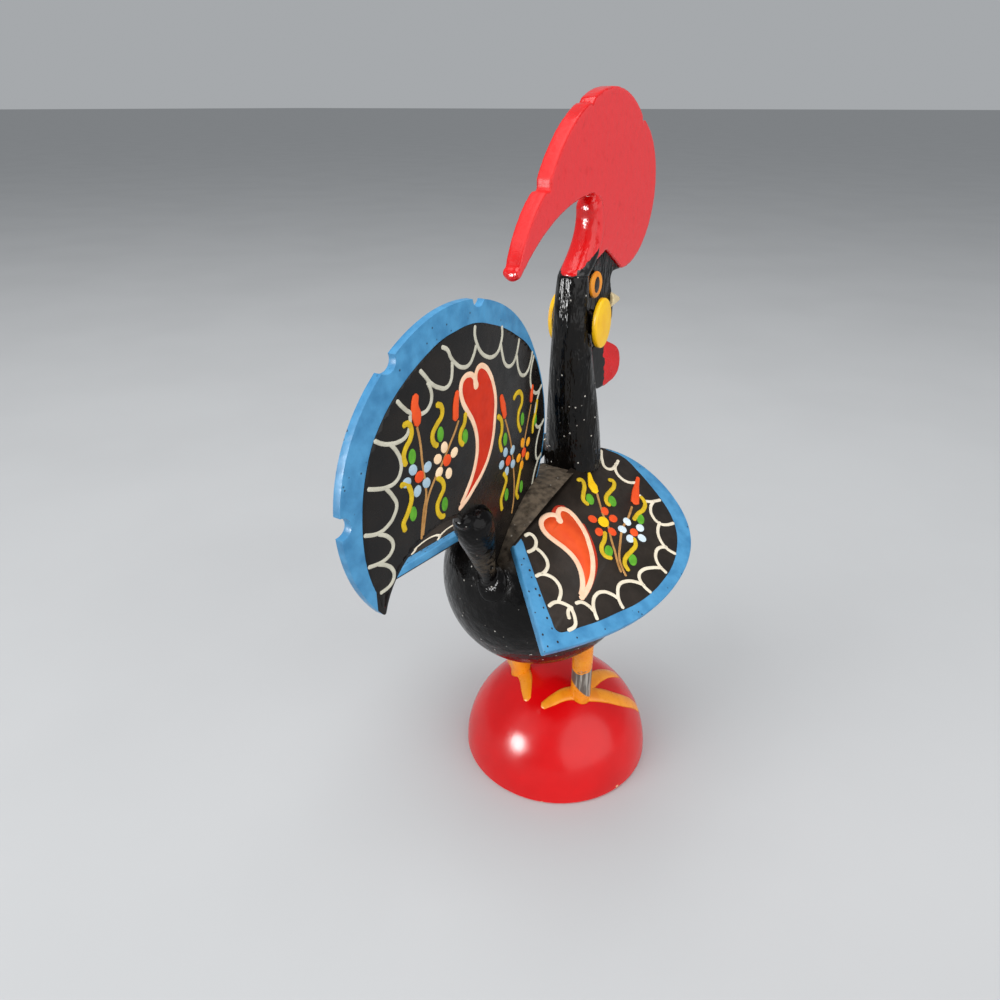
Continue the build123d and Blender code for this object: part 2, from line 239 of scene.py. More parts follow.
def brush_stroke(points, flat, lift):
    """A round-ended brush stroke on a flat sheet: points are x, y and half width."""
    line = bpy.data.curves.new("stroke", "CURVE")
    line.dimensions = "3D"
    line.bevel_depth = mm
    line.bevel_resolution = 3
    line.resolution_u = 8
    line.use_fill_caps = True
    path = [Vector((x, y, 0)) for x, y, _ in points]
    widths = [width for _, _, width in points]
    for end, inner in ((0, 1), (-1, -2)):
        run_out = (path[end] - path[inner]).normalized() * widths[end] * stroke_run_out
        path.insert(0 if end == 0 else len(path), path[end] + run_out)
        widths.insert(0 if end == 0 else len(widths), widths[end] * stroke_end)
    mesh = curve_mesh(line, path, widths)
    for v in mesh.vertices:
        v.co.z = v.co.z * flat + lift * mm
    return mesh


def cut_across(shape, axis, station):
    """Cuts a sheet through at a station along an axis."""
    across = Vector((0, 0, 0))
    across[axis] = 1
    bmesh.ops.bisect_plane(
        shape, geom=shape.verts[:] + shape.edges[:] + shape.faces[:], dist=sheet_weld,
        plane_co=across * station, plane_no=across,
    )


def slice_up(shape, axis, pitch):
    """Cuts a sheet into strips along an axis, so that it can follow a bend."""
    low = min(v.co[axis] for v in shape.verts)
    high = max(v.co[axis] for v in shape.verts)
    for step in range(1, int((high - low) / pitch) + 1):
        cut_across(shape, axis, low + step * pitch)


def build(name, shape, paints):
    """Turns a shape into a smooth-shaded object of the scene."""
    for face in shape.faces:
        face.smooth = True
    mesh = bpy.data.meshes.new(name)
    shape.to_mesh(mesh)
    shape.free()
    for paint in paints:
        mesh.materials.append(paint)
    piece = bpy.data.objects.new(name, mesh)
    bpy.context.scene.collection.objects.link(piece)
    return piece


def finish_piece(name, shape, paints):
    """Makes a shape one of the pieces of the rooster."""
    piece = build(name, shape, paints)
    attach(piece, "root")
    return piece


def lay(name, meshes, place, paint, strips=0.0):
    """Lays flat paint on a surface: place takes a point of the flat sheet to its spot there."""
    layer = bmesh.new()
    for mesh in meshes:
        layer.from_mesh(mesh)
        bpy.data.meshes.remove(mesh)
    bmesh.ops.remove_doubles(layer, verts=layer.verts, dist=sheet_weld)
    if strips:
        slice_up(layer, 0, strips)
    for v in layer.verts:
        v.co = place(v.co)
    bmesh.ops.recalc_face_normals(layer, faces=layer.faces)
    finish_piece(name, layer, [paint])


amber = lacquer(
    "amber", amber_light, amber_dark, (0.25, 0.4), blotch=3, lump=0.04, lump_size=1.5
)
for side, side_name in sides:

    def on_dome(spot):
        level = sqrt((dome_radius * mm) ** 2 - spot.x**2 - spot.y**2)
        out = Vector((side * spot.x, spot.y, level)).normalized()
        return out * (dome_radius * mm + spot.z)

    strokes = [brush_stroke(stroke, toe_flat, toe_lift) for stroke in toe_strokes]
    lay(side_name + "_toes", strokes, on_dome, amber)

# The legs: two plain metal rods glued into the dome and the belly, brushed amber.
# The paint of the right one has worn through to grey metal above its foot,
# where the toes' paint laps up it on one side.
bare_top = 29.5
drip_length = 3.6
drip_size = 1.8
drip_fade = 0.1
lap_level = 28.5
lap_fade = 0.3
lap_aside = -0.89
lap_behind = -0.56
streak_width = 0.55
streak_stretch = 14.0
streak_range = (0.5, 0.64)
metal_grey = (98, 90, 82)
metal_pale = (176, 170, 160)

coat_node("left_leg", amber)
worn_amber = lacquer(
    "worn_amber", amber_light, amber_dark, (0.22, 0.36), blotch=3, lump=0.05, lump_size=2
)
rod_tree = worn_amber.node_tree
drip = combine(rod_tree, "MULTIPLY", noise(rod_tree, drip_size, 2.0, 0.3), drip_length * mm)
level = combine(rod_tree, "ADD", along(rod_tree, "Z"), drip)
bare_low = (bare_top + drip_length / 2 - drip_fade) * mm
bare_high = (bare_top + drip_length / 2 + drip_fade) * mm
below_paint = spread(rod_tree, level, bare_low, bare_high, 1.0, 0.0)
aside = combine(rod_tree, "MULTIPLY", along(rod_tree, "X"), lap_aside)
behind = combine(rod_tree, "MULTIPLY", along(rod_tree, "Y"), lap_behind)
above_toes = combine(rod_tree, "ADD", along(rod_tree, "Z"), aside, behind)
above_lap = spread(rod_tree, above_toes, lap_level * mm, (lap_level + lap_fade) * mm)
bare = combine(rod_tree, "MULTIPLY", below_paint, above_lap)
over(worn_amber, bare, metal_grey, rough=0.3)
streak_noise = noise(rod_tree, streak_width, 3.0, streak_stretch)
streaks = spread(rod_tree, streak_noise, *streak_range)
over(worn_amber, combine(rod_tree, "MULTIPLY", bare, streaks), metal_pale, rough=0.25)
coat_node("right_leg", worn_amber)

# The body: an egg-shaped casting, rough from the mould and brushed with thick black lacquer.
# The wings lie in flats on its shoulders, and the neck, legs and tail are glued into it.
# Its level back, where it faces up, is painted lighter brown: dust, and painted sheen.
# The lighter brown of the up-facing back stands for dust and for painted sheen.
dust_and_sheen_brown = (112, 99, 84)
dust_and_sheen_grain = 1.3
dust_and_sheen_slope = (0.5, 0.86)
dust_and_sheen_cover = (0.3, 0.62)
dust_and_sheen_least = 0.25
dust_and_sheen_most = 0.95


def facing(tree, axis):
    """How far the surface faces along one axis."""
    return axis_of(tree, tree.nodes.new("ShaderNodeNewGeometry").outputs["Normal"], axis)


black_coat = lacquer(
    "black_coat", (6, 5, 5), (13, 11, 10), (0.1, 0.3),
    blotch=4, lump=0.28, lump_size=2.2, shine=0.18, specks=0.9,
)
coat_tree = black_coat.node_tree
# Faces turned upwards get the lighter brown: dust, and painted sheen.
dust_and_sheen = spread(coat_tree, facing(coat_tree, "Z"), *dust_and_sheen_slope, 0.0, dust_and_sheen_most)
dust_and_sheen_noise = noise(coat_tree, dust_and_sheen_grain, 6.0)
thin_dust_and_sheen = spread(coat_tree, dust_and_sheen_noise, *dust_and_sheen_cover, dust_and_sheen_least, 1.0)
over(black_coat, combine(coat_tree, "MULTIPLY", dust_and_sheen, thin_dust_and_sheen), dust_and_sheen_brown, rough=0.8)
coat_node("body", black_coat)

# The wings: flat cast plates, glued in the flats of the body by two studs each.
# They are brushed black, edged in sky blue, and painted with a heart, two flowers and scallops.
# Their black is painted lighter and browner than the tail's, as painted sheen.
wing_slope = radians(31.0)
wing_pitch = radians(11.2)
wing_corner_x = -3.4
wing_corner_y = 28.2
wing_thickness = 1.8
wing_rim_round = 0.45
wing_root_margin = 0.3
wing_nose_start = -30.0
wing_nose_width = 2.6
wing_underside = -0.3
wing_leaf = (1.4, 0.95)
wing_red_petal = (1.05, 0.92)
wing_pale_petal = (1.02, 0.92)
wear_oval = 0.8
panel_lift = 0.03
rim_angle = 1.1
node_weld = 1e-6
flat_turn = 0.999
flat_limit = radians(0.05)
left_wing_shift = Vector((3.6, 0, 0.8))
wing_along = Vector((0, cos(wing_pitch), -sin(wing_pitch)))
wing_up = Vector((
    -sin(wing_slope), cos(wing_slope) * sin(wing_pitch), cos(wing_slope) * cos(wing_pitch)
))
wing_out = wing_up.cross(wing_along)
wing_level = max(v.co.dot(wing_up) for v in nodes["right_wing"].data.vertices)
wing_corner = Vector((wing_corner_x * mm, wing_corner_y * mm, 0))
wing_corner.z = (wing_level - wing_corner.dot(wing_up)) / wing_up.z

wing_panel = (
    (-35.8, 0.3), (-37.9, 3.2), (-38.8, 6.4), (-38.1, 10.3), (-37.0, 14.1), (-35.4, 18.2),
    (-33.3, 21.8), (-30.2, 24.7), (-26.1, 26.6), (-21.9, 27.5), (-17.3, 27.5), (-12.3, 26.8),
    (-7.6, 25.4), (-3.0, 23.3), (1.6, 21.1), (5.2, 19.0), (7.6, 17.6), (9.0, 16.1), (7.8, 13.9),
    (5.5, 10.8), (3.0, 7.5), (0.7, 4.6), (-1.0, 2.4), (-2.0, 1.2), (-2.6, 0.3),
)
wing_scallops = (
    ((-36.1, 1.3), (-33.9, 2.7), (-32.6, 4.4), (-33.2, 5.5), (-34.9, 5.8), (-36.9, 5.6)),
    ((-35.6, 5.6), (-33.9, 6.4), (-33.0, 8.2), (-33.3, 10.1), (-34.6, 11.5)),
    ((-32.3, 13.8), (-31.8, 15.0), (-32.5, 16.2), (-33.8, 17.2), (-35.1, 18.0)),
    ((-33.6, 17.0), (-31.4, 17.2), (-29.6, 18.6), (-29.2, 20.7), (-30.1, 22.0), (-31.9, 23.1)),
    ((-29.5, 20.6), (-27.3, 21.1), (-25.6, 22.4), (-24.6, 24.6), (-24.9, 26.8)),
    ((-24.9, 24.6), (-23.5, 23.4), (-21.7, 23.3), (-19.7, 24.7), (-19.0, 27.2)),
    ((-19.2, 25.8), (-17.6, 24.2), (-15.4, 22.9), (-13.7, 23.0), (-12.5, 24.6), (-12.2, 26.6)),
    ((-12.6, 24.9), (-12.0, 23.2), (-10.6, 21.5), (-8.7, 20.7), (-6.7, 21.4), (-5.5, 22.4),
     (-4.7, 23.7)),
    ((-5.8, 21.9), (-5.6, 20.4), (-4.8, 18.9), (-3.2, 18.1), (-0.8, 18.7), (1.3, 20.8)),
    ((0.3, 19.5), (0.1, 18.1), (0.5, 16.6), (1.5, 15.9)),
    ((3.1, 15.8), (4.2, 17.2), (5.7, 18.1), (7.4, 17.6)),
    ((3.3, 15.4), (4.3, 15.7), (5.2, 16.5)),
    ((5.9, 12.2), (4.5, 12.6), (3.6, 13.5), (2.9, 15.9)),
    ((2.4, 7.0), (1.3, 7.5), (0.4, 8.8), (0.3, 10.6), (1.3, 12.2), (3.6, 13.1)),
    ((-2.9, 3.9), (-2.8, 5.4), (-1.8, 7.2), (-0.3, 7.8), (1.3, 7.6)),
    ((-3.6, 0.6), (-4.7, 1.1), (-4.6, 2.4), (-3.5, 3.3), (-2.4, 3.5), (-0.9, 3.0)),
)
wing_heart = (
    (-0.2, 16.2), (-2.3, 16.2), (-4.9, 15.8), (-7.4, 14.9), (-9.9, 13.4), (-12.0, 11.5),
    (-13.9, 9.3), (-15.0, 7.1), (-15.6, 5.2), (-15.5, 3.5), (-14.7, 2.6), (-13.6, 2.7),
    (-12.8, 3.3), (-12.0, 4.1), (-12.6, 3.0), (-12.0, 1.9), (-10.6, 1.2), (-9.1, 1.2), (-7.9, 2.1),
    (-7.3, 3.5), (-7.2, 5.4), (-7.3, 7.8), (-7.0, 10.2), (-6.0, 12.3), (-4.5, 13.9), (-2.7, 15.1),
    (-0.9, 15.8),
)
wing_heart_shadow = (
    ((-15.2, 8.0), (-13.1, 11.2), (-10.9, 13.5), (-8.4, 15.0), (-5.4, 15.9), (-2.5, 16.4)),
    ((-12.8, 1.9), (-14.6, 1.9), (-15.8, 3.0)),
)
wing_curls = (
    ((-24.3, 1.5), (-25.0, 2.1), (-24.2, 3.3), (-22.2, 4.2), (-20.7, 5.1), (-20.5, 6.3)),
    ((-30.2, 6.6), (-30.6, 7.5), (-29.5, 8.3), (-27.6, 8.3), (-25.4, 8.4), (-24.3, 9.2),
     (-24.2, 10.0)),
    ((-32.1, 14.2), (-31.5, 15.5), (-29.7, 16.2), (-27.4, 15.8), (-25.3, 15.8)),
    ((-17.3, 12.5), (-15.6, 13.3), (-13.5, 13.7), (-12.4, 14.7), (-12.4, 15.8), (-12.9, 16.5)),
    ((-21.0, 18.0), (-19.9, 19.0), (-17.7, 19.0), (-15.4, 18.8), (-13.9, 19.3), (-13.1, 20.6)),
)
wing_leaves = (
    (-22.1, 6.0, 40), (-25.7, 9.9, 40), (-26.7, 16.8, 30), (-13.9, 15.3, 25), (-16.1, 20.2, 25),
)
wing_stems = (
    ((-24.7, 6.4), (-22.6, 8.4), (-20.9, 10.1), (-19.1, 12.4), (-16.8, 14.4), (-14.7, 16.5),
     (-12.6, 18.4), (-11.6, 19.6)),
    ((-28.0, 13.9), (-24.8, 14.6), (-21.0, 15.0), (-17.5, 16.3), (-14.1, 17.9), (-12.5, 19.5),
     (-11.6, 20.8)),
)
wing_yellow_bud = ((-28.2, 2.4, 0.3), (-26.7, 3.6, 0.7), (-25.6, 4.8, 1.15), (-24.8, 5.9, 0.85))
wing_red_bud = ((-36.4, 11.3, 0.45), (-34.0, 12.1, 0.65), (-31.9, 12.9, 0.95), (-29.6, 13.9, 1.05))
wing_wear = (
    (0.9, 3.2, 0.2), (2.2, 5.4, 0.28), (3.2, 6.5, 0.18), (4.7, 8.4, 0.25), (5.3, 9.7, 0.3),
    (6.9, 11.6, 0.22), (8.2, 13.2, 0.26), (9.3, 15.0, 0.2), (2.4, 3.6, 0.16), (6.1, 7.7, 0.2),
    (8.9, 10.9, 0.16), (11.6, 14.3, 0.24), (12.9, 16.2, 0.2), (10.8, 17.2, 0.26), (7.4, 19.6, 0.2),
    (1.9, 23.0, 0.16), (-6.4, 26.6, 0.18),
)
wing_red_petals = ((-22.0, 9.9), (-21.8, 12.2), (-18.7, 13.6), (-16.4, 11.5), (-18.1, 8.9))
wing_red_flower = (-19.3, 11.0)
wing_pale_petals = ((-23.6, 14.9), (-24.5, 17.8), (-22.5, 19.3), (-20.3, 17.4), (-21.0, 15.0))
wing_pale_flower = (-22.3, 17.3)


def dab(x, y, half_length, half_width, turn, lift, height=0.16):
    """One dab of the brush: a flattened oval on the flat sheet."""
    drop = bmesh.new()
    bmesh.ops.create_uvsphere(drop, u_segments=20, v_segments=10, radius=mm)
    bmesh.ops.scale(drop, vec=(half_length, half_width, height), verts=drop.verts)
    bmesh.ops.rotate(drop, matrix=Matrix.Rotation(radians(turn), 3, "Z"), verts=drop.verts)
    bmesh.ops.translate(drop, vec=(x * mm, y * mm, lift * mm), verts=drop.verts)
    mesh = bpy.data.meshes.new("dab")
    drop.to_mesh(mesh)
    drop.free()
    return mesh


def painted_area(points, lift, height=0.03):
    """A filled patch of paint with a soft outline through the points."""
    line = bpy.data.curves.new("patch", "CURVE")
    line.dimensions = "2D"
    line.fill_mode = "BOTH"
    line.extrude = height * mm
    line.resolution_u = 6
    mesh = curve_mesh(line, [Vector((x, y, 0)) for x, y in points])
    for v in mesh.vertices:
        v.co.z += (lift + height) * mm
    return mesh


def lines(strokes, half_width, lift, flat=0.3):
    """Brush lines of an even width."""
    widened = [[(x, y, half_width) for x, y in stroke] for stroke in strokes]
    return [brush_stroke(stroke, flat, lift) for stroke in widened]


def petals(spots, centre, half_length, half_width, lift):
    """Dabs set round a flower's middle, each pointing away from it."""
    dabs = []
    for x, y in spots:
        turn = Vector((x - centre[0], y - centre[1])).angle_signed(Vector((1, 0)))
        dabs.append(dab(x, y, half_length, half_width, turn * 180 / pi, lift))
    return dabs


def node_copy(name):
    """A merged copy of a node's mesh."""
    shape = bmesh.new()
    shape.from_mesh(nodes[name].data)
    bmesh.ops.remove_doubles(shape, verts=shape.verts, dist=node_weld)
    shape.normal_update()
    return shape


def draw_out(shape, faces):
    """Extrudes faces where they are and gives the new points and faces."""
    grown = bmesh.ops.extrude_face_region(shape, geom=faces)["geom"]
    points = [v for v in grown if isinstance(v, bmesh.types.BMVert)]
    return points, [f for f in grown if isinstance(f, bmesh.types.BMFace)]


def round_off(shape, sharp, size, affect="EDGES"):
    """Rounds sharp edges or corners."""
    bmesh.ops.bevel(
        shape, geom=sharp, offset=size * mm, offset_type="OFFSET", segments=4, profile=0.5,
        affect=affect, clamp_overlap=True, material=-1,
    )


def round_rim(plate, size):
    """Rounds all the sharp edges of a plate."""
    paired = [e for e in plate.edges if len(e.link_faces) == 2]
    round_off(plate, [e for e in paired if e.calc_face_angle() > rim_angle], size)


def artist_paint(name, colour, tint, blotch=2.0, lump=0.03, lump_size=0.8):
    """Satin paint for brushed ornament."""
    return lacquer(
        name, colour, tint, (0.4, 0.55), blotch=blotch, lump=lump, lump_size=lump_size, shine=0.2
    )


sky_blue = lacquer(
    "sky_blue", (76, 148, 194), (54, 122, 168), (0.3, 0.5),
    blotch=3, lump=0.08, lump_size=1.4, shine=0.35, specks=0.9, speck_colour=(24, 38, 50),
)
# Black lightened towards brown as painted sheen; the tail's plates use a darker black.
wing_black_with_painted_sheen = lacquer(
    "wing_black_with_painted_sheen", (42, 36, 31), (54, 46, 40), (0.34, 0.5),
    blotch=4, lump=0.04, lump_size=0.9, shine=0.18,
)
cream = artist_paint("cream", (236, 226, 204), (222, 210, 186))
peach = artist_paint("peach", (252, 214, 182), (246, 198, 162))
coral = artist_paint("coral", (238, 88, 36), (228, 74, 28), blotch=3, lump_size=1)
brick = artist_paint("brick", (190, 52, 26), (170, 42, 22), lump_size=1)
gold = artist_paint("gold", (220, 184, 34), (200, 166, 30), blotch=1.5)
lemon = artist_paint("lemon", (252, 206, 18), (246, 192, 12))
leaf_green = artist_paint("leaf_green", (100, 172, 46), (78, 148, 38), blotch=1.5)
ochre = artist_paint("ochre", (190, 142, 84), (166, 118, 62), lump=0.02)
ice = artist_paint("ice", (222, 236, 242), (204, 222, 232))

for side, side_name in sides:

    def on_wing(spot):
        point = wing_corner + wing_along * spot.x + wing_out * spot.y + wing_up * spot.z
        if side < 0:
            return point
        return Vector((-point.x, point.y, point.z)) + left_wing_shift * mm

    sheet = node_copy(side_name + "_wing")
    side_up = Vector((wing_up.x * -side, wing_up.y, wing_up.z))
    under = [f for f in sheet.faces if f.normal.dot(side_up) < flat_turn]
    bmesh.ops.delete(sheet, geom=under, context="FACES")
    bmesh.ops.dissolve_limit(sheet, angle_limit=flat_limit, verts=sheet.verts, edges=sheet.edges)
    lower_points, _ = draw_out(sheet, sheet.faces[:])
    bmesh.ops.translate(sheet, vec=side_up * -wing_thickness * mm, verts=lower_points)
    bmesh.ops.recalc_face_normals(sheet, faces=sheet.faces)
    round_rim(sheet, wing_rim_round)
    corner = on_wing(Vector())
    nose_y = on_wing(Vector((wing_nose_start * mm, 0, 0))).y
    for face in sheet.faces:
        middle = face.calc_center_median()
        root = abs(middle.x) < abs(corner.x) + wing_root_margin * mm
        nose = middle.y < nose_y and abs(middle.x - corner.x) < wing_nose_width * mm
        below = face.normal.dot(side_up) < wing_underside
        face.material_index = 1 if root or nose or below else 0
    plate = finish_piece(side_name + "_wing_plate", sheet, [sky_blue, wing_black_with_painted_sheen])
    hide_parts(side_name + "_wing")

    yellow_dabs = [
        brush_stroke(wing_yellow_bud, flat=0.25, lift=0.08),
        dab(*wing_red_flower, half_length=1.3, half_width=1.25, turn=0, lift=0.16),
    ]
    red_dabs = [
        brush_stroke(wing_red_bud, flat=0.25, lift=0.08),
        dab(*wing_pale_flower, half_length=1.0, half_width=0.95, turn=0, lift=0.16),
    ]
    red_ring = petals(wing_red_petals, wing_red_flower, *wing_red_petal, lift=0.08)
    pale_ring = petals(wing_pale_petals, wing_pale_flower, *wing_pale_petal, lift=0.08)
    leaf_dabs = [dab(x, y, *wing_leaf, turn, lift=0.07) for x, y, turn in wing_leaves]
    worn_dots = [
        dab(x, y, size, size * wear_oval, turn=50, lift=0.0, height=0.04)
        for x, y, size in wing_wear
    ]
    wing_layers = (
        ("panel", [painted_area(wing_panel, lift=0.0, height=panel_lift)], wing_black_with_painted_sheen),
        ("scallops", lines(wing_scallops, half_width=0.38, lift=0.06), cream),
        ("heart", [painted_area(wing_heart, lift=0.06)], coral),
        ("heart_shadow", lines(wing_heart_shadow, half_width=0.45, lift=0.07, flat=0.15), brick),
        ("heart_edge", lines([wing_heart], half_width=0.58, lift=0.08, flat=0.25), peach),
        ("stems", lines(wing_stems, half_width=0.27, lift=0.07), ochre),
        ("curls", lines(wing_curls, half_width=0.5, lift=0.1), gold),
        ("leaves", leaf_dabs, leaf_green),
        ("yellow_bud", yellow_dabs, lemon),
        ("red_bud", red_dabs, coral),
        ("red_petals", red_ring, coral),
        ("pale_petals", pale_ring, ice),
        ("wear", worn_dots, wing_black_with_painted_sheen),
    )
    for layer_name, meshes, paint in wing_layers:
        lay(side_name + "_wing_" + layer_name, meshes, on_wing, paint)

# The tail: a round fan, bent a little, cast in one with a thumb-shaped lug at its root.
# It is let into the rump, where lacquer has pooled, and edged in sky blue.
# Its pattern is painted alike on both faces.
tail_y = 37.4
tail_thickness = 1.3
tail_bend_radius = 150.0
tail_rim_round = 0.4
tail_strip = 1.5
tail_tip_round = 0.8
tail_tip_share = 0.6
tail_face_turn = -0.9
tail_face_slack = 0.05
tail_leaf = (1.3, 0.8)
tail_petal = (1.0, 0.86)
tail_flower_middle = (1.05, 1.0)
arch_black_z = 89.0
arch_black_front = 14.0
arch_border_y = 60.2
arch_border_z = 76.0
arch_border_lean = 0.185
lug_foot = Vector((0, 30.03, 62.9))
lug_lean = radians(18.5)
lug_grain = 0.25
lug_rounds = 12
lug_dust_grain = 1.1
lug_dust_cover = (0.36, 0.62)
lug_dust_low = 68.5
lug_dust_top = 77.0
lug_dust_fade = 5.0
lug_gloss_fade = 2.0
lug_dust_most = 0.75
lug_dust_brown = (86, 75, 62)
crook_spot = Vector((0, 39.0, 83.6))
crook_size = (2.0, 2.1, 1.6)
pool_spot = Vector((-0.5, 31.0, 65.9))
pool_tilt = radians(23.0)
pool_size = (3.4, 1.1, 3.9)
lug_profile = (
    (0.7, 0.0), (1.1, 2.6), (1.75, 7.0), (2.5, 11.5), (3.3, 15.5), (3.7, 18.0), (3.75, 19.8),
    (3.6, 21.0), (3.1, 22.0), (2.3, 22.6), (1.2, 22.9), (0.0, 23.0),
)
tail_panel = (
    (12.6, 105.4), (14.9, 107.6), (17.3, 109.6), (21.8, 112.2), (26.6, 114.6), (30.9, 116.2),
    (34.7, 117.3), (37.6, 117.6), (40.9, 117.4), (44.6, 116.8), (47.5, 115.7), (50.3, 114.3),
    (53.0, 112.6), (55.7, 110.4), (58.1, 107.7), (59.9, 104.9), (61.2, 101.6), (62.1, 98.3),
    (62.6, 95.0), (62.9, 90.6), (62.6, 85.9), (61.9, 82.6), (60.8, 79.4), (60.0, 77.4),
    (59.6, 78.2), (58.6, 80.4), (57.1, 82.4), (55.3, 84.0), (53.3, 85.3), (51.0, 86.2),
    (48.7, 86.7), (46.3, 86.9), (43.8, 86.6), (41.3, 85.8), (38.0, 80.0), (32.0, 71.5),
    (25.0, 72.8), (19.0, 76.2), (13.4, 77.6), (9.4, 81.2), (7.0, 85.9), (6.4, 91.0), (7.4, 96.0),
    (9.5, 100.7),
)
tail_scallops = (
    ((35.9, 117.0), (36.0, 115.7), (35.4, 114.1), (34.3, 112.5), (32.4, 111.2), (30.5, 110.7),
     (28.8, 111.1), (27.8, 112.3), (27.3, 113.6), (27.4, 115.0)),
    ((27.8, 112.2), (27.2, 110.1), (26.3, 108.4), (24.7, 107.4), (23.0, 107.6), (21.7, 108.9),
     (20.7, 111.2)),
    ((21.6, 108.4), (20.8, 105.7), (18.8, 104.0), (16.6, 104.2), (15.2, 105.6), (14.4, 107.2)),
    ((44.5, 115.8), (43.3, 115.1), (42.5, 113.7), (41.4, 112.5), (39.7, 111.4), (37.8, 111.3),
     (36.5, 112.4), (35.7, 113.8)),
    ((49.6, 113.5), (48.7, 112.5), (47.3, 110.9), (45.6, 109.8), (43.8, 109.3), (42.7, 110.0),
     (42.3, 111.3), (42.2, 112.9)),
    ((54.6, 110.3), (53.6, 109.1), (52.3, 107.9), (50.9, 107.2), (49.2, 106.9), (48.1, 107.4),
     (47.4, 108.6), (47.5, 110.0), (48.1, 111.3)),
    ((59.3, 105.7), (58.1, 104.9), (56.5, 104.3), (54.5, 104.1), (53.2, 104.5), (52.5, 105.6),
     (52.2, 107.3)),
    ((56.5, 104.3), (55.4, 102.8), (54.7, 101.0), (54.8, 99.4), (55.8, 98.1), (57.7, 97.8),
     (61.2, 98.8)),
    ((57.9, 97.6), (56.8, 96.0), (56.1, 94.2), (56.7, 92.7), (57.9, 91.6), (60.0, 91.0),
     (62.6, 91.7)),
    ((60.0, 90.8), (58.3, 89.6), (57.4, 87.8), (57.9, 86.6), (59.3, 85.9), (62.4, 86.1)),
    ((60.5, 85.7), (59.0, 84.8), (57.9, 83.5), (57.7, 82.2), (58.5, 81.0), (60.6, 80.5)),
    ((13.6, 106.2), (15.0, 103.8), (14.9, 101.0), (12.9, 98.8), (10.7, 98.2), (8.8, 98.9)),
    ((10.0, 98.0), (11.8, 96.0), (12.4, 93.6), (11.4, 91.4), (9.2, 90.4), (6.7, 90.9)),
    ((9.0, 90.0), (10.8, 87.8), (11.3, 85.4), (10.2, 83.6), (7.9, 83.8)),
    ((10.0, 83.2), (11.9, 81.4), (13.0, 79.4), (13.8, 78.0)),
)
tail_heart = (
    (41.4, 87.1), (39.3, 87.9), (36.8, 89.4), (34.1, 91.2), (32.0, 93.5), (30.7, 96.3),
    (30.0, 99.6), (29.7, 102.9), (30.4, 105.8), (31.6, 108.1), (33.3, 109.8), (34.8, 110.2),
    (35.7, 109.6), (36.0, 108.3), (35.8, 107.1), (36.5, 108.9), (37.8, 109.7), (39.5, 109.4),
    (40.2, 108.2), (39.9, 106.1), (38.7, 104.0), (37.2, 101.8), (36.1, 99.2), (35.8, 96.4),
    (36.3, 94.0), (37.5, 91.6), (39.2, 89.5), (40.8, 87.8),
)
tail_curls = (
    ((53.7, 106.3), (52.8, 106.3), (52.2, 105.1), (52.5, 103.8), (53.6, 102.6), (54.1, 101.4),
     (53.8, 100.0)),
    ((46.3, 107.3), (45.3, 106.7), (45.2, 105.3), (46.5, 104.1), (47.6, 102.8), (47.4, 101.3),
     (46.6, 100.6)),
    ((39.1, 103.5), (39.5, 101.9), (40.5, 100.8), (40.7, 99.3), (40.0, 98.4)),
    ((55.0, 97.0), (54.0, 96.9), (53.1, 95.4), (53.0, 94.0), (53.5, 92.7), (54.4, 91.3),
     (55.0, 90.5), (54.8, 89.1)),
    ((46.9, 95.2), (45.6, 93.8), (45.5, 92.6), (46.3, 91.6), (47.2, 90.2), (46.5, 88.0),
     (45.6, 87.6)),
    ((28.9, 99.6), (27.7, 98.5), (27.5, 96.3), (28.2, 94.7), (27.5, 92.5)),
    ((22.8, 100.9), (21.5, 101.5), (19.6, 100.8), (19.2, 99.0), (20.6, 97.5), (20.8, 95.6),
     (19.6, 93.4)),
    ((11.3, 96.7), (11.9, 94.8), (13.3, 92.8), (13.5, 90.8)),
    ((26.7, 87.6), (25.7, 85.9), (26.7, 84.2), (27.7, 82.6), (27.4, 80.4)),
    ((19.4, 85.5), (20.5, 83.3), (21.3, 81.2), (20.4, 79.6)),
)
tail_leaves = (
    (52.3, 100.8), (45.7, 102.2), (39.3, 99.6), (52.8, 91.2), (45.3, 89.7), (26.1, 94.2),
    (18.8, 95.5), (12.1, 93.0), (25.5, 82.7), (18.9, 81.4),
)
tail_stems = (
    ((50.9, 105.1), (50.4, 102.3), (50.2, 99.1), (49.7, 94.6), (49.7, 93.1), (50.4, 90.9),
     (51.0, 88.0), (51.3, 86.0)),
    ((41.0, 102.9), (42.1, 101.3), (43.2, 100.0), (45.7, 97.0), (47.7, 94.9), (49.4, 92.3),
     (50.1, 89.9), (50.9, 86.5)),
    ((26.1, 98.0), (24.8, 95.1), (23.6, 91.9), (22.5, 86.3), (22.2, 82.7), (22.6, 79.3),
     (23.2, 77.6)),
    ((14.6, 96.9), (16.0, 94.1), (17.6, 90.6), (19.3, 84.9), (20.7, 81.0)),
)
tail_buds = (
    ((50.9, 110.0, 0.7), (51.2, 108.5, 0.85), (50.9, 106.9, 1.05), (50.8, 105.6, 0.7)),
    ((41.2, 107.8, 0.55), (41.6, 106.0, 0.8), (41.8, 103.6, 0.8)),
    ((27.7, 102.9, 0.6), (27.0, 100.9, 0.9), (26.3, 98.7, 0.7)),
    ((14.1, 100.5, 0.55), (14.5, 98.8, 0.75), (14.7, 97.7, 0.65)),
)
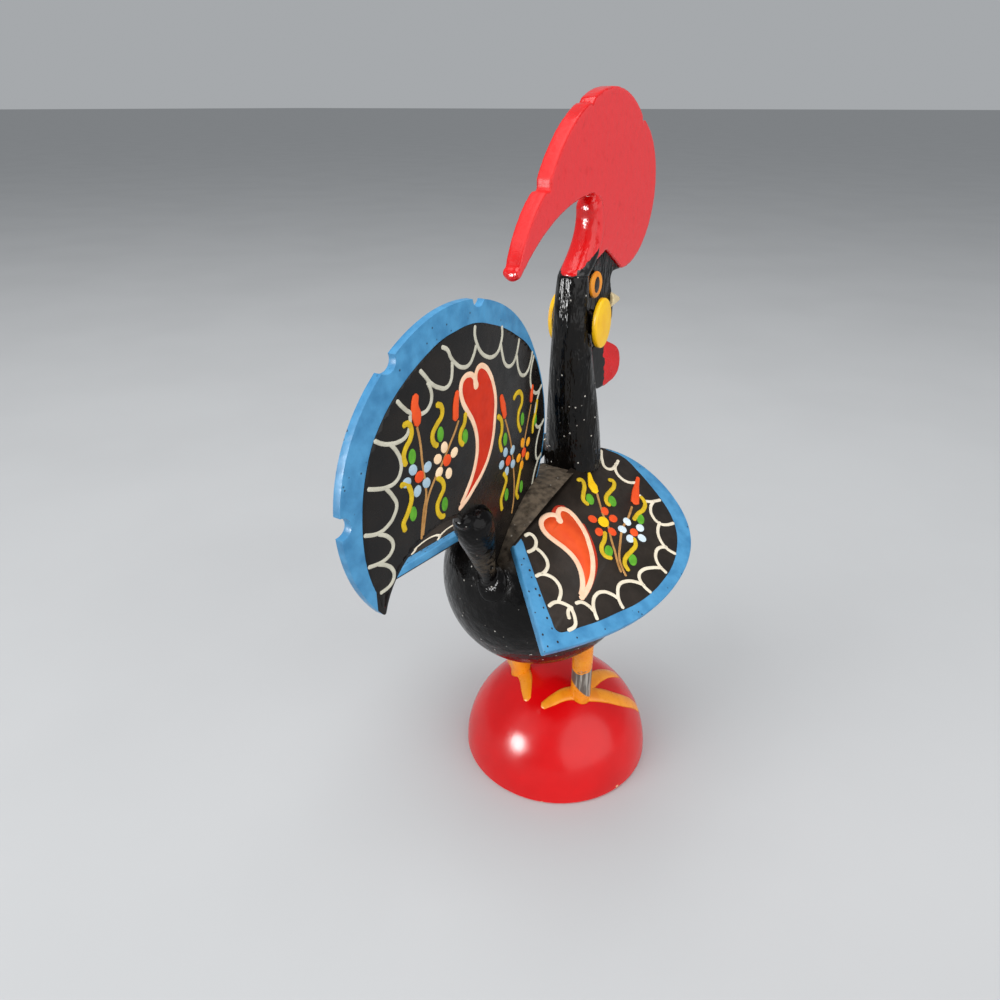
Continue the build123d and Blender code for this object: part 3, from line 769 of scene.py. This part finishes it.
tail_flowers = (
    ("blue", (51.1, 97.0), ((52.3, 98.6), (49.1, 97.9), (49.5, 95.3), (51.6, 94.7), (53.8, 97.0))),
    ("cream", (44.4, 97.3), ((44.9, 99.7), (42.4, 97.9), (44.0, 94.8), (46.4, 95.9), (46.6, 98.3))),
    ("pale", (25.0, 89.5), ((26.0, 91.6), (23.1, 90.9), (22.9, 88.0), (25.5, 87.5), (27.5, 89.7))),
    ("yellow", (18.1, 88.4),
     ((18.6, 90.6), (15.8, 89.7), (16.1, 86.8), (18.9, 86.0), (20.3, 88.1))),
)


def gather(shape, spot, size, tilt=0.0):
    """Adds a lump of gathered lacquer: an oval ball of that half size, tilted backwards."""
    lump = bmesh.ops.create_uvsphere(shape, u_segments=48, v_segments=24, radius=mm)["verts"]
    bmesh.ops.scale(shape, vec=size, verts=lump)
    bmesh.ops.rotate(shape, matrix=Matrix.Rotation(tilt, 3, "X"), verts=lump)
    bmesh.ops.translate(shape, vec=spot * mm, verts=lump)


def soften(piece, grain, rounds):
    """Runs a piece's parts together and rounds its edges as casting and thick paint round them."""
    skin = piece.modifiers.new("skin", "REMESH")
    skin.mode = "VOXEL"
    skin.voxel_size = grain * mm
    skin.use_smooth_shade = True
    smoother = piece.modifiers.new("soften", "SMOOTH")
    smoother.factor = 0.5
    smoother.iterations = rounds


def bend_x(y, radius):
    """How far the bent sheet of that radius stands off the middle plane at a station y."""
    return tail_bend_radius * mm - sqrt(radius**2 - (y - tail_y * mm) ** 2)


plate_black = lacquer(
    "plate_black", (17, 15, 14), (30, 25, 21), (0.2, 0.34),
    blotch=7, lump=0.03, lump_size=1.5, shine=0.25,
)
lug_black = lacquer(
    "lug_black", (5, 4, 4), (10, 8, 8), (0.08, 0.24),
    blotch=4, lump=0.3, lump_size=1.8, shine=0.16, specks=0.8,
)
lug_tree = lug_black.node_tree
lug_height = along(lug_tree, "Z")
lug_dust = spread(
    lug_tree, lug_height, (lug_dust_top - lug_dust_fade) * mm, lug_dust_top * mm,
    lug_dust_most, 0.0,
)
lug_foot_gloss = spread(
    lug_tree, lug_height, lug_dust_low * mm, (lug_dust_low + lug_gloss_fade) * mm
)
thin_lug_dust = spread(lug_tree, noise(lug_tree, lug_dust_grain, 5.0), *lug_dust_cover)
lug_share = combine(lug_tree, "MULTIPLY", lug_dust, lug_foot_gloss, thin_lug_dust)
over(lug_black, lug_share, lug_dust_brown, rough=0.6)
# The tail's heart: the wings' coral painted darker, as painted shade.
shaded_tail_red = artist_paint("shaded_tail_red", (212, 48, 12), (198, 40, 10), blotch=3, lump_size=1)
# The tail's scallops: the wings' cream painted greyer, as painted shade.
shaded_cream = artist_paint("shaded_cream", (206, 202, 184), (188, 184, 166))
dusk_blue = artist_paint("dusk_blue", (176, 200, 214), (158, 186, 202))
apricot = artist_paint("apricot", (255, 226, 188), (248, 212, 172))
marigold = artist_paint("marigold", (248, 172, 36), (240, 156, 24))
flower_paints = {"blue": dusk_blue, "cream": apricot, "pale": dusk_blue, "yellow": marigold}

right_radius = (tail_bend_radius + tail_thickness / 2) * mm
left_radius = (tail_bend_radius - tail_thickness / 2) * mm
fan = node_copy("tail_fan")
off_face = []
for face in fan.faces:
    middle = face.calc_center_median()
    gap = abs(middle.x - bend_x(middle.y, right_radius))
    if face.normal.x > tail_face_turn or gap > tail_face_slack * mm:
        off_face.append(face)
bmesh.ops.delete(fan, geom=off_face, context="FACES")
for v in fan.verts:
    v.co.x = 0
bmesh.ops.dissolve_limit(fan, angle_limit=flat_limit, verts=fan.verts, edges=fan.edges)
tip_y = tail_y * mm + tail_tip_share * (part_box("tail_fan")[1].y - tail_y * mm)
tip = min((v for v in fan.verts if v.co.y > tip_y), key=lambda v: v.co.z)
round_off(fan, [tip], tail_tip_round, "VERTICES")
bmesh.ops.triangulate(fan, faces=fan.faces)
slice_up(fan, 1, tail_strip * mm)
cut_across(fan, 2, arch_black_z * mm)
left_points, _ = draw_out(fan, fan.faces[:])
left_face = set(left_points)
for v in fan.verts:
    v.co.x = bend_x(v.co.y, left_radius if v in left_face else right_radius)
bmesh.ops.recalc_face_normals(fan, faces=fan.faces)
round_rim(fan, tail_rim_round)
for face in fan.faces:
    middle = face.calc_center_median() / mm
    border_y = arch_border_y + (middle.z - arch_border_z) * arch_border_lean
    under_arch = middle.z < arch_black_z and arch_black_front < middle.y < border_y
    face.material_index = 1 if under_arch else 0
tail_plate = finish_piece("tail_plate", fan, [sky_blue, plate_black])
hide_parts("tail_fan")

lug = bmesh.new()
lug_axis = Vector((0, sin(lug_lean), cos(lug_lean)))
lug_across = Vector((0, cos(lug_lean), -sin(lug_lean)))
profile = [lug.verts.new(lug_foot * mm)]
for radius, height in lug_profile:
    profile.append(lug.verts.new((lug_foot + lug_across * radius + lug_axis * height) * mm))
edges = [lug.edges.new(pair) for pair in zip(profile, profile[1:])]
bmesh.ops.spin(
    lug, geom=profile + edges, cent=lug_foot * mm, axis=lug_axis, angle=2 * pi, steps=48,
    use_merge=True,
)
bmesh.ops.remove_doubles(lug, verts=lug.verts, dist=node_weld)
gather(lug, pool_spot, pool_size, pool_tilt)
gather(lug, crook_spot, crook_size)
bmesh.ops.recalc_face_normals(lug, faces=lug.faces)
soften(finish_piece("tail_lug", lug, [lug_black]), lug_grain, lug_rounds)

for side, side_name in sides:

    def on_tail(spot):
        radius = tail_bend_radius * mm - side * (tail_thickness / 2 * mm + spot.z)
        return Vector((bend_x(spot.x, radius), spot.x, spot.y))

    leaf_dabs = [dab(y, z, *tail_leaf, turn=90, lift=0.07) for y, z in tail_leaves]
    flower_dabs = [
        dab(*middle, *tail_flower_middle, turn=0, lift=0.16) for _, middle, _ in tail_flowers
    ]
    tail_layers = [
        ("panel", [painted_area(tail_panel, lift=0.0, height=panel_lift)], plate_black),
        ("scallops", lines(tail_scallops, half_width=0.36, lift=0.06), shaded_cream),
        ("heart", [painted_area(tail_heart, lift=0.06)], shaded_tail_red),
        ("heart_edge", lines([tail_heart], half_width=0.5, lift=0.08, flat=0.25), peach),
        ("stems", lines(tail_stems, half_width=0.25, lift=0.07), ochre),
        ("curls", lines(tail_curls, half_width=0.5, lift=0.1), gold),
        ("leaves", leaf_dabs, leaf_green),
        ("buds", [brush_stroke(bud, flat=0.25, lift=0.1) for bud in tail_buds], coral),
        ("hearts_of_flowers", flower_dabs, coral),
    ]
    for colour_name, middle, spots in tail_flowers:
        dabs = petals(spots, middle, *tail_petal, lift=0.08)
        tail_layers.append((colour_name + "_flower", dabs, flower_paints[colour_name]))
    for layer_name, meshes, paint in tail_layers:
        strips = tail_strip * mm if layer_name in ("panel", "heart") else 0.0
        lay(side_name + "_tail_" + layer_name, meshes, on_tail, paint, strips)

# The neck and head: a tapering column cast with the flat face, glued into the back of the body.
# It is coated in thick, lumpy black lacquer, thickest at its foot.
# The red of the comb has run a little way down it.
cast_grain = 0.3
neck_rounds = 6
crown_y = 1.0
crown_z = 119.2
red_run = 2.0
run_slope = 0.6
run_rise = 0.75
run_grain = 1.3
run_stretch = 3.0
run_edge = 0.1
run_red = (214, 10, 14)
flare_top = 106.0
flare_low = 76.0
flare_width = 0.128
flare_back = 1.0


def soft_casting(name, node, paint, grain, rounds, dress=None, lumps=()):
    """A node's copy with its points moved by dress, lumps added and all softened by thick paint."""
    shape = node_copy(node)
    if dress:
        for v in shape.verts:
            v.co = dress(v.co)
    for spot, size in lumps:
        gather(shape, Vector(spot), size)
    piece = finish_piece(name, shape, [paint])
    soften(piece, grain, rounds)
    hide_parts(node)


def run_down(tree):
    """How far the red has run down at a point: the further behind the neck's top, the more."""
    back = combine(tree, "ADD", along(tree, "Y"), -crown_y * mm)
    return combine(tree, "MULTIPLY", back, run_slope)


def lacquered_foot(spot):
    """The neck's foot is thick with lacquer, more so behind."""
    share = (flare_top * mm - spot.z) / ((flare_top - flare_low) * mm)
    share = min(max(share, 0), 1)
    width = 1 + flare_width * share
    return Vector((spot.x * width, spot.y + flare_back * share * mm, spot.z))


neck_paint = lacquer(
    "neck_black", (6, 5, 5), (18, 15, 12), (0.05, 0.22),
    blotch=3, lump=0.9, lump_size=2.0, drawn=3.0, shine=0.22, specks=0.95,
)
neck_tree = neck_paint.node_tree
run_noise = noise(neck_tree, run_grain, 2.0, run_stretch)
run = combine(neck_tree, "MULTIPLY", run_noise, red_run * mm)
run_level = combine(neck_tree, "ADD", along(neck_tree, "Z"), run, run_down(neck_tree))
red_line = crown_z + red_run + run_rise
red_share = spread(neck_tree, run_level, red_line * mm, (red_line + run_edge) * mm)
over(neck_paint, red_share, run_red, rough=0.2)
soft_casting(
    "neck", "neck_and_head", neck_paint, cast_grain, neck_rounds, lacquered_foot
)

# The comb: a flat plate of four lobes with a hooked spur, cast with the stalk that carries it.
# A peg under the stalk is glued into the neck. It is brushed in satin red, and the paint has
# gathered round the joint and at the tip of the spur.
# Its flat faces are painted a paler, pinker red, as painted sheen.
comb_rounds = 12
comb_coat = 0.27
comb_stalk_half = 2.5
nick_reach = 0.5
comb_nicks = (
    (13.33, 16.33, -0.8, -0.8), (-1.73, 29.2, 0.0, -0.6), (-25.43, 26.06, 0.5, -0.5)
)
comb_lumps = (
    ((0, 0.75, 119.2), (3.0, 3.05, 1.5)),
    ((0, 23.55, 122.55), (1.25, 1.05, 1.05)),
)
comb_red = (216, 14, 16)
# The paler, pinker red of the flat faces is painted sheen.
comb_face_painted_sheen = (232, 52, 56)
face_turn = (0.9, 0.97)
face_grain = 1.2
face_spread = (0.3, 0.7, -0.06, 0.06)
dull_y = (4.0, 6.0)
dull_z = (126.0, 128.0)
foot_climb = 1.2
foot_line = 121.5
foot_edge = 0.1
foot_front = (-3.6, -3.4)
foot_black = (10, 8, 8)


def thick_comb(spot):
    """The plate is thick with paint, and the notches between its lobes are nicked."""
    plate = min(max(comb_stalk_half - abs(spot.x) / mm, 0), 1)
    moved = Vector((spot.x * (1 + comb_coat * plate), spot.y, spot.z))
    for y, z, into_y, into_z in comb_nicks:
        notch = Vector((crown_y + y, crown_z + z))
        if (Vector((spot.y, spot.z)) / mm - notch).length < nick_reach:
            moved += Vector((0, into_y, into_z)) * mm
    return moved


comb_paint = lacquer(
    "comb_red", comb_red, (200, 8, 10), (0.1, 0.26), blotch=5, lump=0.16, lump_size=1.5
)
comb_tree = comb_paint.node_tree
behind_stalk = spread(comb_tree, along(comb_tree, "Y"), dull_y[0] * mm, dull_y[1] * mm)
above_spur = spread(comb_tree, along(comb_tree, "Z"), dull_z[0] * mm, dull_z[1] * mm)
dull = combine(comb_tree, "MULTIPLY", behind_stalk, above_spur)
over(comb_paint, dull, comb_red, rough=0.5)
# Faces turned sideways get the paler, pinker red: painted sheen.
flat_face = combine(comb_tree, "ABSOLUTE", facing(comb_tree, "X"), 0.0)
face_noise = spread(comb_tree, noise(comb_tree, face_grain, 3.0), *face_spread)
ragged_face = combine(comb_tree, "ADD", flat_face, face_noise)
over(comb_paint, spread(comb_tree, ragged_face, *face_turn), comb_face_painted_sheen, rough=0.42)
climb_noise = noise(comb_tree, run_grain, 2.0, run_stretch)
climb = combine(comb_tree, "MULTIPLY", climb_noise, foot_climb * mm)
foot_level = combine(comb_tree, "ADD", along(comb_tree, "Z"), climb, run_down(comb_tree))
foot_share = spread(
    comb_tree, foot_level, (foot_line - foot_edge) * mm, foot_line * mm, 1.0, 0.0
)
at_stalk = spread(comb_tree, along(comb_tree, "Y"), foot_front[0] * mm, foot_front[1] * mm)
over(comb_paint, combine(comb_tree, "MULTIPLY", foot_share, at_stalk), foot_black, rough=0.2)
soft_casting(
    "comb_plate", "comb", comb_paint, cast_grain, comb_rounds, thick_comb, comb_lumps
)

# The wattle: a flat red lobe cast in metal and let into the throat under the chin.
# The black of the neck has been brushed a little way over its root.
wattle_rounds = 6
smear_y = -12.3
smear_edge = 0.2
smear_reach = 4.5
smear_grain = 2.5
smear_slant = 0.1
smear_black = (12, 10, 10)
wattle_paint = lacquer(
    "wattle_red", (220, 6, 12), (204, 4, 8), (0.16, 0.3),
    blotch=4, lump=0.06, lump_size=2, shine=0.12,
)
wattle_tree = wattle_paint.node_tree
smear_noise = noise(wattle_tree, smear_grain, 3.0)
smear = combine(wattle_tree, "MULTIPLY", smear_noise, smear_reach * mm)
above_foot = combine(wattle_tree, "SUBTRACT", along(wattle_tree, "Z"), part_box("wattle")[0].z)
slant = combine(wattle_tree, "MULTIPLY", above_foot, -smear_slant)
smear_place = combine(wattle_tree, "ADD", along(wattle_tree, "Y"), slant, smear)
smear_share = spread(wattle_tree, smear_place, smear_y * mm, (smear_y + smear_edge) * mm)
over(wattle_paint, smear_share, smear_black, rough=0.25)
soft_casting("wattle_lobe", "wattle", wattle_paint, cast_grain, wattle_rounds)

# The beak: a small metal cone painted cream.
# It is slotted over the edge of the face and glued there.
beak_grain = 0.2
beak_rounds = 4
beak_paint = lacquer(
    "beak_cream", (232, 214, 168), (214, 190, 140), (0.35, 0.5), blotch=2, lump=0.04, lump_size=1
)
soft_casting("beak_cone", "beak", beak_paint, beak_grain, beak_rounds)

# The eyes: round metal discs glued to the face and painted orange.
# Each has a dark pupil dabbed on it and a thin dark line of paint round its foot.
disc_round = 0.35
eye_foot = 0.5
disc_top = 0.9
pupil_size = (0.15, 1.15, 1.6)
pupil_sink = 0.02
eye_orange = lacquer(
    "eye_orange", (252, 160, 20), (242, 140, 14), (0.3, 0.45), blotch=2, lump=0.03, lump_size=1
)
pupil_black = lacquer(
    "pupil_black", (30, 18, 12), (42, 24, 14), (0.2, 0.35), blotch=2, lump=0.02, lump_size=1
)


def glued_disc(name, node, side, foot, paints):
    """A disc with a rounded face and a dark line of paint round its foot, where its node is."""
    low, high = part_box(node)
    middle = (low + high) / 2
    thickness = high.x - low.x
    disc = bmesh.new()
    bmesh.ops.create_circle(disc, cap_ends=True, segments=64, radius=1)
    across = ((high.y - low.y) / 2, (high.z - low.z) / 2, 1)
    bmesh.ops.scale(disc, vec=across, verts=disc.verts)
    top = disc.faces[:]
    for rise in (foot * thickness, (1 - foot) * thickness):
        points, top = draw_out(disc, top)
        bmesh.ops.translate(disc, vec=(0, 0, rise), verts=points)
    bmesh.ops.recalc_face_normals(disc, faces=disc.faces)
    for face in disc.faces:
        face.material_index = 1 if face.calc_center_median().z < foot * thickness else 0
    outer = [e for e in disc.edges if all(v.co.z > disc_top * thickness for v in e.verts)]
    round_off(disc, outer, disc_round)
    inner_x = low.x if side > 0 else high.x
    for v in disc.verts:
        v.co = Vector((inner_x + side * v.co.z, middle.y + v.co.x, middle.z + v.co.y))
    bmesh.ops.recalc_face_normals(disc, faces=disc.faces)
    piece = finish_piece(name, disc, paints)
    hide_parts(node)
    return Vector((high.x if side > 0 else low.x, middle.y, middle.z))


for side, side_name in sides:
    eye_face = glued_disc(
        side_name + "_eye_disc", side_name + "_eye", side, eye_foot,
        [eye_orange, pupil_black],
    )
    pupil = bmesh.new()
    bmesh.ops.create_uvsphere(pupil, u_segments=24, v_segments=12, radius=mm)
    bmesh.ops.scale(pupil, vec=pupil_size, verts=pupil.verts)
    pupil_spot = eye_face - Vector((side * pupil_sink * mm, 0, 0))
    bmesh.ops.translate(pupil, vec=pupil_spot, verts=pupil.verts)
    finish_piece(side_name + "_pupil", pupil, [pupil_black])

# The ear lobes: oval metal discs glued to the cheek bosses and painted yellow.
# A thin dark line of paint runs round the foot of each.
lobe_foot = 0.2
lobe_yellow = lacquer(
    "lobe_yellow", (255, 202, 8), (248, 186, 4), (0.28, 0.42), blotch=3, lump=0.04, lump_size=2
)
for side, side_name in sides:
    glued_disc(
        side_name + "_lobe_disc", side_name + "_ear_lobe", side, lobe_foot,
        [lobe_yellow, pupil_black],
    )

# The table top: a plain pale floor with no shine.
# The rooster stands on it, and it isn't part of the object.
floor_paint = lacquer(
    "pale_floor", (196, 197, 198), (193, 194, 195), (0.5, 0.55), blotch=90, lump=0.0, shine=0.0
)
floor_shape = bmesh.new()
bmesh.ops.create_grid(floor_shape, x_segments=1, y_segments=1, size=30)
floor = build("floor", floor_shape, [floor_paint])

# The studio: a pale room with a broad soft lamp on the right, one overhead and one high behind
# the viewer's left. A small round one, low on the left, is seen in the gloss only.
# Colours are shown as on a paint's sample card.
room_grey = (226, 230, 234)
aim = Vector((0, 0.015, 0.075))
# Each lamp: name, place, size, watts, whether it lights the paint and shows in the gloss.
lamps = (
    ("window", (0.16, 0.4, 0.14), 0.15, 2.2, False, True),
    ("sky", (0.35, 0.85, 0.75), 0.9, 7.0, True, False),
    ("room", (-0.75, 0.25, 0.35), 1.2, 5.6, True, True),
    ("overhead", (0.02, 0.06, 0.62), 0.5, 1.6, True, True),
)
bpy.context.scene.view_settings.view_transform = "Standard"
world = bpy.data.worlds.new("room")
world.use_nodes = True
backdrop = world.node_tree.nodes["Background"]
backdrop.inputs["Color"].default_value = srgb(*room_grey)
backdrop.inputs["Strength"].default_value = 0.5
bpy.context.scene.world = world
for lamp_name, spot, size, power, lights, shines in lamps:
    lamp = bpy.data.lights.new(lamp_name, "AREA")
    lamp.shape = "DISK"
    lamp.size = size
    lamp.energy = power
    lamp_object = bpy.data.objects.new(lamp_name, lamp)
    lamp_object.location = spot
    lamp_object.visible_diffuse = lights
    lamp_object.visible_glossy = shines
    lamp_object.rotation_euler = (aim - Vector(spot)).to_track_quat("-Z", "Y").to_euler()
    bpy.context.scene.collection.objects.link(lamp_object)

# The camera stands above and behind the bird's right shoulder, as in the photograph.
# Its place and lens follow from the level lines and from the round foot of the dome.
camera_spot = Vector((-65.68, 132.51, 147.66)) * mm
camera_turn = radians(32.0)
camera_tilt = radians(27.8)
look = Vector((
    sin(camera_turn) * cos(camera_tilt), -cos(camera_turn) * cos(camera_tilt), -sin(camera_tilt)
))
camera_data = bpy.data.cameras.new("camera")
camera_data.lens = 27
camera_data.sensor_width = 36
camera_data.clip_start = 0.005
camera = bpy.data.objects.new("camera", camera_data)
camera.location = camera_spot
camera.rotation_euler = look.to_track_quat("-Z", "Y").to_euler()
bpy.context.scene.collection.objects.link(camera)
bpy.context.scene.camera = camera
